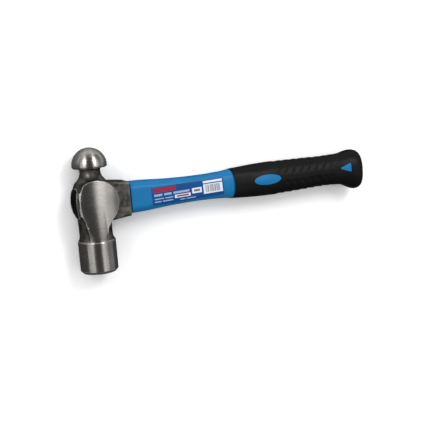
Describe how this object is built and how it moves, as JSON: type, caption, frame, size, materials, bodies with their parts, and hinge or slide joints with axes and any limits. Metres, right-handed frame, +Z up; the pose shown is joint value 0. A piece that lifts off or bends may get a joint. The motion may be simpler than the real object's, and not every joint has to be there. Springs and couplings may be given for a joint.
{
  "type": "ball peen hammer",
  "caption": "Ball peen hammer for metalwork: forged steel head with a round striking face and a ball, fibreglass core, moulded jacket and soft rubber grip.",
  "frame": {"origin": "the point where the lower cheek rests on the bench, straight under the crossing of the head's axis and the handle's axis", "axes": "+X along the handle towards the butt, +Y along the head towards the ball, +Z up from the bench, the hammer lying on its side"},
  "size_m": [0.2523, 0.0981, 0.0294],
  "materials": {
    "forged_steel": "ball, poll and cheeks ground and polished bright, the rest dark forged skin",
    "epoxy_resin": "black cast epoxy with a slightly dished top",
    "fibreglass": "pultruded glass fibre rod with lengthwise strands",
    "dam_rubber": "matt black",
    "jacket_plastic": "satin moulded polypropylene, mid blue",
    "grip_rubber": "matt black thermoplastic rubber with moulded scales",
    "label_film": "printed film, dark blue with a red block and white bars"
  },
  "bodies": {
    "root": {"hammer_head": "forged_steel", "eye_resin": "epoxy_resin", "fibreglass_core": "fibreglass", "resin_dam": "dam_rubber", "handle_jacket": "jacket_plastic", "rubber_grip": "grip_rubber", "product_label": "label_film"}
  },
  "joints": []
}
